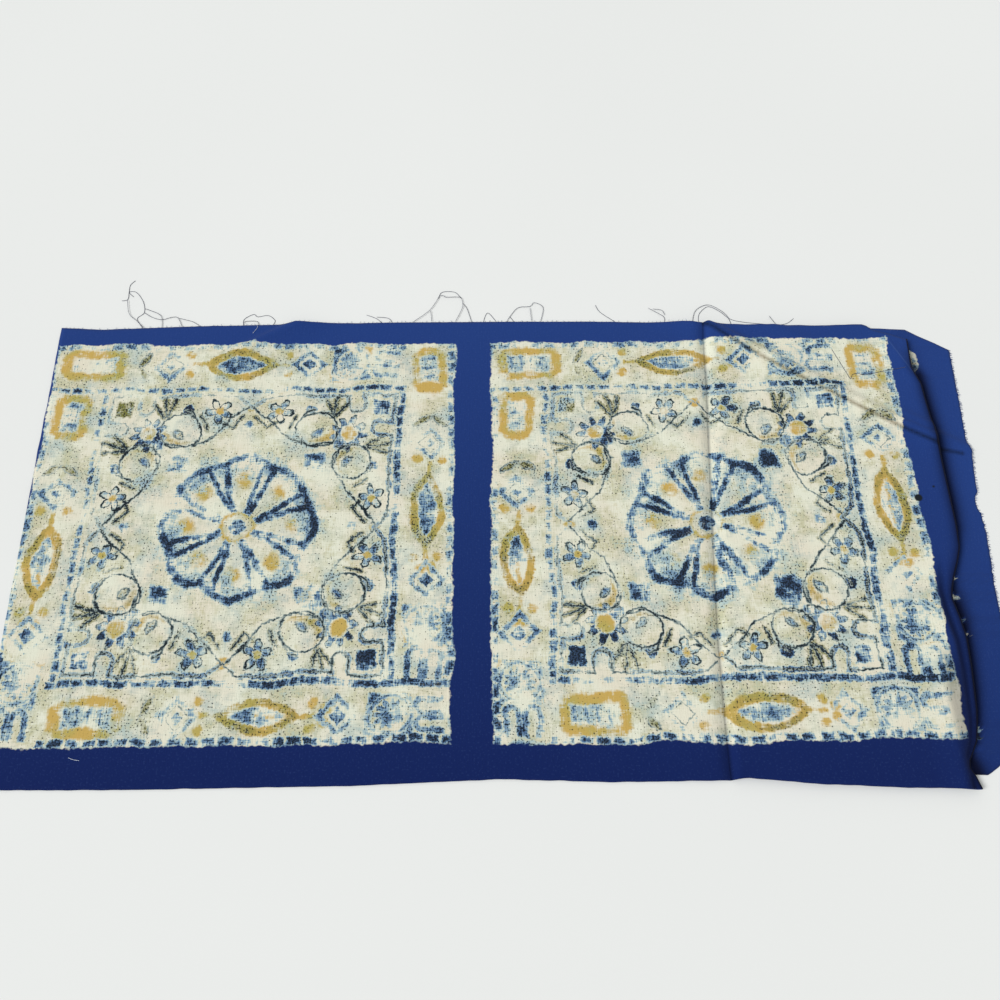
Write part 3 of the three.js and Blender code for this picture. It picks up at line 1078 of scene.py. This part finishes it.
def all_inks(flat):
    """Inks of the squares, and the distance out from the edge of the nearest square."""
    drawn = flat.moved(three_unevennesses(flat, 1 / WANDER_LENGTH, 2), WANDER)
    drawn = drawn.moved(three_unevennesses(flat, 1 / JITTER_LENGTH), JITTER)
    drawn_x, y, _ = drawn.parts()
    x = along_panel(drawn_x)
    place = joined(x, y)
    outward = abs(x).most(abs(y))
    press = (x - y).scaled(1 / 230, 0.5, clamped=True)
    in_band = outward.math("GREATER_THAN", BAND_START)
    field, border = field_inks(place, press), border_inks(place, press)
    inks = {name: field[name].switched(border[name], in_band) for name in field}
    edge = outward - PANEL_HALF
    inks["blue"] = inks["blue"].most((edge + 1).ink(0, 3).scaled(-0.34, 0.34))
    return inks, edge


def square_color(flat, inks, threads, speck):
    """Colour of the print's squares: worn inks over washed cream, and dark specks on the inks."""
    worn_1, worn_2, worn_3 = three_unevennesses(flat, 1 / WORN_LENGTH, 2).parts()
    blotch_1, blotch_2, blotch_3 = three_unevennesses(flat, 1 / BLOTCH_LENGTH, 1).parts()
    blue_tooth = blotch_1.scaled(2, worn_1.scaled(4.4, threads - 4.7))
    gold_tooth = blotch_2.scaled(2.2, worn_2.scaled(3.6, threads - 4.4))
    grey_tooth = blotch_3.scaled(1.8, worn_3.scaled(3, threads - 3.9))
    blue = worn_share(inks["blue"], blue_tooth, 0.96)
    gold = worn_share(inks["gold"], gold_tooth)
    olive = worn_share(inks["olive"], grey_tooth)
    grey = worn_share(inks["grey"], grey_tooth)

    color = mixed(worn_3.scaled(3, -1, clamped=True), CREAM, WARM_CREAM)
    wash_tone = mixed(worn_2.scaled(5, -1.8, clamped=True), AQUA_WASH, OLIVE_WASH)
    color = mixed(blue_tooth.scaled(0.42, 0.3, clamped=True), color, wash_tone)
    gold_tone = mixed(worn_1.scaled(4, -1.6, clamped=True), GOLD, OLIVE_GOLD)
    color = mixed(gold.scaled(1.1, 0, clamped=True), color, gold_tone)
    color = mixed(olive, color, OLIVE)
    color = mixed(blue.scaled(5, 0, clamped=True), color, ramp(blue, BLUES))
    color = mixed(grey.scaled(4, 0, clamped=True), color, ramp(grey, GREYS))
    inked = blue.most(olive, grey)
    specks = speck.scaled(12, inked.scaled(3, worn_1.scaled(4, -11.1)), clamped=True)
    return mixed(specks * 0.9, color, NEAR_BLACK)


def ground_color(flat, speck):
    """Blue around the squares, paler towards the right end, and paler towards the far edge as painted
    sheen.
    """
    x, y, _ = flat.parts()
    toward_end = x.scaled(1 / 90, -2.8, clamped=True)
    toward_far = y.scaled(0.0033, toward_end.scaled(0.4, 0.5), clamped=True)
    ground = mixed(toward_far, GROUND_NEAR, GROUND_FAR)
    return mixed(speck.scaled(9, -6.2, clamped=True) * 0.1, ground, FLECK_AND_HIGHLIGHT)


def print_color(flat, threads):
    """Colour of the print at a place on the flat cloth."""
    inks, edge = all_inks(flat)
    speck = unevenness(flat, 1 / SPECK_LENGTH, 0)
    squares = square_color(flat, inks, threads, speck)
    return mixed(edge.ink(0, 0.9), ground_color(flat, speck), squares)


def with_painted_light_and_spots(flat, color, threads):
    """The same colour with painted shade along the creases, folds, valley and corner, a painted
    highlight along the pale crease, and dark spots.
    """
    crease_shadow_distance = flat.paths(CREASE_SHADOW_LINE, STRIP_CREASE_SHADOW_LINE)
    spots = least_of([flat.distance(x, y) - radius for x, y, radius in DARK_SPOTS])
    # Painted shade along the diagonal creases, uneven with the threads
    line = crease_shadow_distance.ink(1.2, 2.4) * threads.scaled(0.3, 0.3, clamped=True)
    color = mixed(line, color, CREASE_SHADOW_TINT, "MULTIPLY")
    # Painted highlight along the pale crease
    color = mixed(flat.path(CREASE_HIGHLIGHT_LINE).ink(0, 1.2) * 0.8, color, FLECK_AND_HIGHLIGHT)
    # Painted shade that the mesh holds at the folds, valley, corner and crease
    color = mixed(mesh_field(flat.tree, "shade"), color, DEEP_SHADE, "MULTIPLY")
    return mixed(spots.ink(0, 0.8), color, NEAR_BLACK)


def cotton_bump(shader, flat, threads):
    """Plain weave and uneven threads as a fine bump."""
    x, y, _ = flat.parts()
    weave = x.scaled(WEAVE_TURN).math("SINE") * y.scaled(WEAVE_TURN).math("SINE")
    node = flat.tree.nodes.new("ShaderNodeBump")
    node.inputs["Strength"].default_value = WEAVE_STRENGTH
    node.inputs["Distance"].default_value = WEAVE_DEPTH * MM
    put(weave.scaled(WEAVE_SHARE, threads), node.inputs["Height"])
    flat.tree.links.new(node.outputs[0], shader.inputs["Normal"])


def new_material(name, roughness, sheen):
    """Matt material, with its node tree and its shader."""
    material = bpy.data.materials.new(name)
    material.use_nodes = True
    shader = material.node_tree.nodes["Principled BSDF"]
    shader.inputs["Roughness"].default_value = roughness
    shader.inputs["Specular IOR Level"].default_value = SPECULAR
    shader.inputs["Sheen Weight"].default_value = sheen
    shader.inputs["Sheen Roughness"].default_value = SHEEN_ROUGHNESS
    return material, material.node_tree, shader


def thread_unevenness(flat):
    """Level and upright threads that stand out from each other, around 1.5."""
    level = unevenness(flat.times(1 / THREAD_LENGTH, 1 / THREAD_WIDTH), 1, 1)
    upright = unevenness(flat.times(1 / THREAD_WIDTH, 1 / THREAD_LENGTH), 1, 1)
    return level.scaled(THREAD_SHARE, upright.scaled(THREAD_SHARE))


def face_color(flat, threads):
    """Colour of the printed side."""
    return with_painted_light_and_spots(flat, print_color(flat, threads), threads)


def back_color(flat, threads):
    """Colour of the back: the ground's blue struck through, the squares only a pale ghost."""
    x, y, _ = flat.parts()
    edge = abs(along_panel(x)).most(abs(y)) - PANEL_HALF
    blotch = unevenness(flat, 1 / BACK_BLOTCH_LENGTH, 3)
    ghost = blotch.scaled(1.6, threads.scaled(0.5, -1.3), clamped=True)
    pale = mixed(ghost, BACK_CREAM, BACK_GHOST)
    blue = mixed(blotch, BACK_BLUE, BACK_PALE_BLUE)
    return mixed(edge.ink(0, 1.6), blue, pale)


def cotton(name, color_of):
    """Cotton, with its colour from a function of the flat place and the threads."""
    material, tree, shader = new_material(name, COTTON_ROUGHNESS, COTTON_SHEEN)
    flat = flat_place(tree)
    threads = thread_unevenness(flat)
    put(color_of(flat, threads), shader.inputs["Base Color"])
    cotton_bump(shader, flat, threads)
    return material


def yarn_material(name, dark, light):
    """Twisted yarn: two tones that wind along it."""
    material, tree, shader = new_material(name, 0.85, 0.3)
    node = tree.nodes.new("ShaderNodeTexCoord")
    place = Place(tree, node.outputs["Object"]).times(1 / MM, 1 / MM)
    strands = unevenness(place, 2.2, 2)
    put(mixed(strands.scaled(3, -1, clamped=True), dark, light), shader.inputs["Base Color"])
    return material


# Loose yarns of the raw far edge, as seen from above, in groups
YARN_GROUPS = [
    [
        [(-224, 146), (-229, 154), (-225, 159), (-227, 168), (-233, 176), (-238, 176), (-234, 172)],
        [(-225, 159), (-219, 155), (-212, 153), (-205, 155), (-201, 154), (-197, 146)],
        [(-201, 154), (-191, 151), (-185, 147)],
        [(-235, 186), (-238, 182), (-238, 176), (-238, 170), (-242, 169)],
        [(-225, 162), (-222, 161), (-213, 156), (-211, 146)],
        [(-238, 170), (-235, 158), (-229, 152), (-223, 146)],
    ],
    [
        [(-156, 147.6), (-156, 153), (-150, 157), (-147, 155), (-140, 156), (-135, 152), (-136, 148)],
        [(-156, 148), (-155, 151), (-147, 151), (-146, 147.8)],
    ],
    [
        [(-73, 156), (-66, 153), (-62, 149.3)],
        [(-66, 154), (-58, 153), (-55, 149.4)],
        [(-41, 149.4), (-34, 155), (-29, 160), (-25, 167), (-23, 171), (-20, 171), (-19, 170),
         (-11, 170), (-8, 169), (-7, 163), (-8, 159), (-12, 149.5)],
        [(-24, 169), (-22, 174), (-17, 175), (-12, 174), (-8, 169)],
        [(-7, 165), (-4, 160), (-1, 149.5)],
        [(-29, 159), (-28, 149.5)],
    ],
    [
        [(7, 149.5), (10, 157), (16, 149.5)],
        [(23, 149.5), (26, 155), (31, 161), (39, 162), (42, 165), (48, 161), (46, 149.4)],
        [(39, 161), (40, 149.4)],
        [(25, 154), (28, 149.5)],
    ],
    [
        [(84, 163), (87, 157), (97, 148.8)],
        [(120, 160), (130, 153), (130, 147.7)],
        [(123, 159), (129, 158), (131, 154)],
    ],
    [
        [(154, 145.2), (154, 153), (157, 158), (162, 161), (169, 157), (177, 150), (193, 147),
         (211, 146), (219, 151)],
        [(149, 146), (152, 157), (159, 162), (165, 161), (173, 154), (176, 144.4)],
        [(202, 153), (207, 143.6)],
    ],
]
YARN_RADIUS = 0.15
YARN_LAYERS = 3
YARN_LAYER_LIFT = 0.3
YARN_SWAY = 0.15

# Weft yarn that lies loose along the raw edge, between the roots of each group
ROOT_LINE = 151
PULLED_MARGIN = 2
PULLED_STEPS = 30
PULLED_GAP = 0.25
PULLED_SWAY = 0.2

# Single yarns that lie on the cloth
LYING_YARNS = [
    (
        "dark",
        [(239.4, 123.7), (243.2, 113.5), (246.9, 103.5), (248.4, 100.4), (250.1, 103.5),
         (253.6, 104.6), (258.1, 103.4), (272.4, 106.3), (285.2, 107.8)],
    ),
    ("pale", [(-223.1, -137.9), (-220.1, -139), (-216.7, -139.5)]),
    ("pale", [(-146, 147.4), (-146.5, 145), (-149, 141)]),
]

# Short fibres of the raw right end and the far edge; spread and bend are angles
FIBRE_SEED = 7
FIBRE_RADIUS = 0.13
FIBRE_REACH = 2
FIBRE_SHORTEST = 0.3
FIBRE_ROOT = 0.4
FIBRE_SPREAD = 0.5
FIBRE_BEND = 0.8
FIBRE_LIFT = (-0.2, 0.3)
FIBRES_PER_ROW = 3
FAR_FIBRE_SPACING = (1.1, 4.4)

# Thickness of a strand's two ends, as a share of its own
STRAND_TIP = 0.35


# Soft room, lamp and floor
ROOM_COLOR = (0.98, 1, 1, 1)
ROOM_STRENGTH = 0.55
LAMP_STRENGTH = 2.2
LAMP_WIDTH = 25
LAMP_HEADING = (0.66, 0.2, -0.72)
FLOOR_REACH = 6000
FLOOR_TONES = [linear(226, 227, 225), linear(232, 233, 231)]


def smooth_path(points, steps=6):
    """Rounded path through the points."""
    padded = [points[0], *points, points[-1]]
    path = []
    for before, start, end, after in zip(padded, padded[1:], padded[2:], padded[3:]):
        for step in range(steps):
            t = step / steps
            path.append(tuple(
                0.5 * (2 * b + (c - a) * t + (2 * a - 5 * b + 4 * c - d) * t * t
                       + (3 * b - a - 3 * c + d) * t ** 3)
                for a, b, c, d in zip(before, start, end, after)
            ))
    return [*path, tuple(points[-1])]


def tube(path, radius, sides=5):
    """Vertices and faces of a round strand along a path of 3-D places."""
    vertices, faces = [], []
    places = [Vector(point) for point in path]
    for index, place in enumerate(places):
        before, after = places[max(index - 1, 0)], places[min(index + 1, len(places) - 1)]
        heading = (after - before).normalized()
        side = heading.cross(Vector((0, 0, 1))).normalized()
        up = side.cross(heading)
        reach = radius * (STRAND_TIP if index in (0, len(places) - 1) else 1)
        for corner in range(sides):
            angle = 2 * math.pi * corner / sides
            vertices.append(place + (side * math.cos(angle) + up * math.sin(angle)) * reach)
    for ring in range(len(places) - 1):
        for corner in range(sides):
            a = ring * sides + corner
            b = ring * sides + (corner + 1) % sides
            faces.append((a, b, b + sides, a + sides))
    faces.append(tuple(reversed(range(sides))))
    faces.append(tuple(range((len(places) - 1) * sides, len(places) * sides)))
    return vertices, faces


def strands_object(name, paths, radius, material, sides=5):
    """Several strands as one piece."""
    vertices, faces = [], []
    for path in paths:
        more_vertices, more_faces = tube(path, radius, sides)
        faces += [tuple(index + len(vertices) for index in face) for face in more_faces]
        vertices += more_vertices
    piece = new_object(name, vertices, faces, [material])
    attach(piece, "root")
    return piece


def pulled_yarn(chance, routes):
    """Path of the weft yarn along the raw edge at one group's roots."""
    roots = [x for route in routes for x, y in route if y < ROOT_LINE]
    path = []
    for x in spread(min(roots) - PULLED_MARGIN, max(roots) + PULLED_MARGIN, PULLED_STEPS):
        gap = PULLED_GAP + PULLED_SWAY * chance.random()
        path.append((x, between(TOP_EDGES, x)[1] + gap, YARN_RADIUS))
    return path


def yarn_group(number, routes, material):
    """Loose yarns of one group, which lie on the ground and over each other."""
    chance = random.Random(number)
    paths = []
    for layer, route in enumerate(routes):
        lift = YARN_RADIUS + YARN_LAYER_LIFT * (layer % YARN_LAYERS)
        paths.append([(x, y, lift + YARN_SWAY * chance.random()) for x, y in smooth_path(route)])
    paths.append(pulled_yarn(chance, routes))
    piece = strands_object(f"loose_yarns_{number}", paths, YARN_RADIUS, material)
    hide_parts(f"edge_yarns_{number}")
    return piece


def lying_yarn(number, route, material):
    """Single yarn that follows the cloth's upper face."""
    path = [(x, y, surface_height(x, y) + YARN_RADIUS) for x, y in smooth_path(route)]
    return strands_object(f"lying_yarn_{number}", [path], YARN_RADIUS, material)


def fibre(chance, place, heading):
    """Short bent fibre that leaves an edge roughly along its heading."""
    x, y, z = place
    half = 0.5 * FIBRE_REACH * lerp(FIBRE_SHORTEST, 1, chance.random())
    start = heading + chance.uniform(-FIBRE_SPREAD, FIBRE_SPREAD)
    end = start + chance.uniform(-FIBRE_BEND, FIBRE_BEND)
    middle = (x + half * math.cos(start), y + half * math.sin(start), z)
    tip = (
        middle[0] + half * math.cos(end),
        middle[1] + half * math.sin(end),
        max(z + chance.uniform(*FIBRE_LIFT), FIBRE_RADIUS),
    )
    root = (x - FIBRE_ROOT * math.cos(heading), y - FIBRE_ROOT * math.sin(heading), z)
    return [root, middle, tip]


def frayed_fibres(rows, material):
    """Fibres of the raw right end and of the raw far edge."""
    chance = random.Random(FIBRE_SEED)
    paths = []
    for row, next_row in zip(rows, rows[1:]):
        for _ in range(FIBRES_PER_ROW):
            share = chance.random()
            place = [lerp(a, b, share) for a, b in zip(row[-1][:3], next_row[-1][:3])]
            paths.append(fibre(chance, place, 0))
    far_row = rows[-1]
    last_x = far_row[0][0]
    for x, y, z, *_ in far_row[:COLUMNS["open"]]:
        if x - last_x > chance.uniform(*FAR_FIBRE_SPACING):
            paths.append(fibre(chance, (x, y, z), math.pi / 2))
            last_x = x
    return strands_object("frayed_fibres", paths, FIBRE_RADIUS, material, 3)


def camera():
    """Camera at its fitted place, turned by its three angles."""
    pitch, yaw, roll = (math.radians(a) for a in (CAMERA_PITCH, CAMERA_YAW, CAMERA_ROLL))
    forward = Vector((
        math.sin(yaw) * math.cos(pitch), math.cos(yaw) * math.cos(pitch), -math.sin(pitch),
    ))
    right = Vector((math.cos(yaw), -math.sin(yaw), 0))
    up = right.cross(forward)
    rolled_right = right * math.cos(roll) + up * math.sin(roll)
    rolled_up = up * math.cos(roll) - right * math.sin(roll)
    data = bpy.data.cameras.new("camera")
    data.lens = CAMERA_LENS
    data.sensor_width = CAMERA_SENSOR
    holder = bpy.data.objects.new("camera", data)
    turn = Matrix((rolled_right, rolled_up, -forward)).transposed().to_4x4()
    holder.matrix_world = Matrix.Translation(Vector(CAMERA_PLACE) * MM) @ turn
    bpy.context.collection.objects.link(holder)
    bpy.context.scene.camera = holder


def studio():
    """Soft room, a wide lamp from the left, and a pale floor."""
    world = bpy.data.worlds.new("soft_room")
    world.use_nodes = True
    background = world.node_tree.nodes["Background"]
    background.inputs["Color"].default_value = ROOM_COLOR
    background.inputs["Strength"].default_value = ROOM_STRENGTH
    bpy.context.scene.world = world
    bpy.context.scene.view_settings.view_transform = "Standard"

    data = bpy.data.lights.new("window_light", "SUN")
    data.energy = LAMP_STRENGTH
    data.angle = math.radians(LAMP_WIDTH)
    lamp = bpy.data.objects.new("window_light", data)
    lamp.rotation_euler = Vector(LAMP_HEADING).to_track_quat("-Z", "Y").to_euler()
    bpy.context.collection.objects.link(lamp)

    material, tree, shader = new_material("pale_floor", 0.6, 0)
    node = tree.nodes.new("ShaderNodeTexCoord")
    tint = unevenness(Place(tree, node.outputs["Object"]), 2.0, 2)
    put(mixed(tint, *FLOOR_TONES), shader.inputs["Base Color"])
    low, high = -FLOOR_REACH, FLOOR_REACH
    corners = [(low, low, 0), (high, low, 0), (high, high, 0), (low, high, 0)]
    new_object("floor", corners, [(0, 1, 2, 3)], [material])


camera()
studio()

cloth_rows = [row_section(row / ROWS) for row in range(ROWS + 1)]
sides = [cotton("printed_cotton_face", face_color), cotton("printed_cotton_back", back_color)]
cloth = closed_sheet("printed_cloth", cloth_rows, sides)
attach(cloth, "root")
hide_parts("cloth")

dark_yarn = yarn_material("dark_blue_yarn", linear(26, 28, 52), linear(74, 78, 104))
pale_yarn = yarn_material("pale_yarn", linear(150, 164, 190), linear(214, 220, 226))
blue_yarn = yarn_material("blue_yarn", linear(30, 46, 104), linear(84, 106, 160))
yarn_materials = {"dark": dark_yarn, "pale": pale_yarn}
yarns = [yarn_group(number, routes, dark_yarn) for number, routes in enumerate(YARN_GROUPS, 1)]
for number, (tone, route) in enumerate(LYING_YARNS, 1):
    yarns.append(lying_yarn(number, route, yarn_materials[tone]))
yarns.append(frayed_fibres(cloth_rows, blue_yarn))
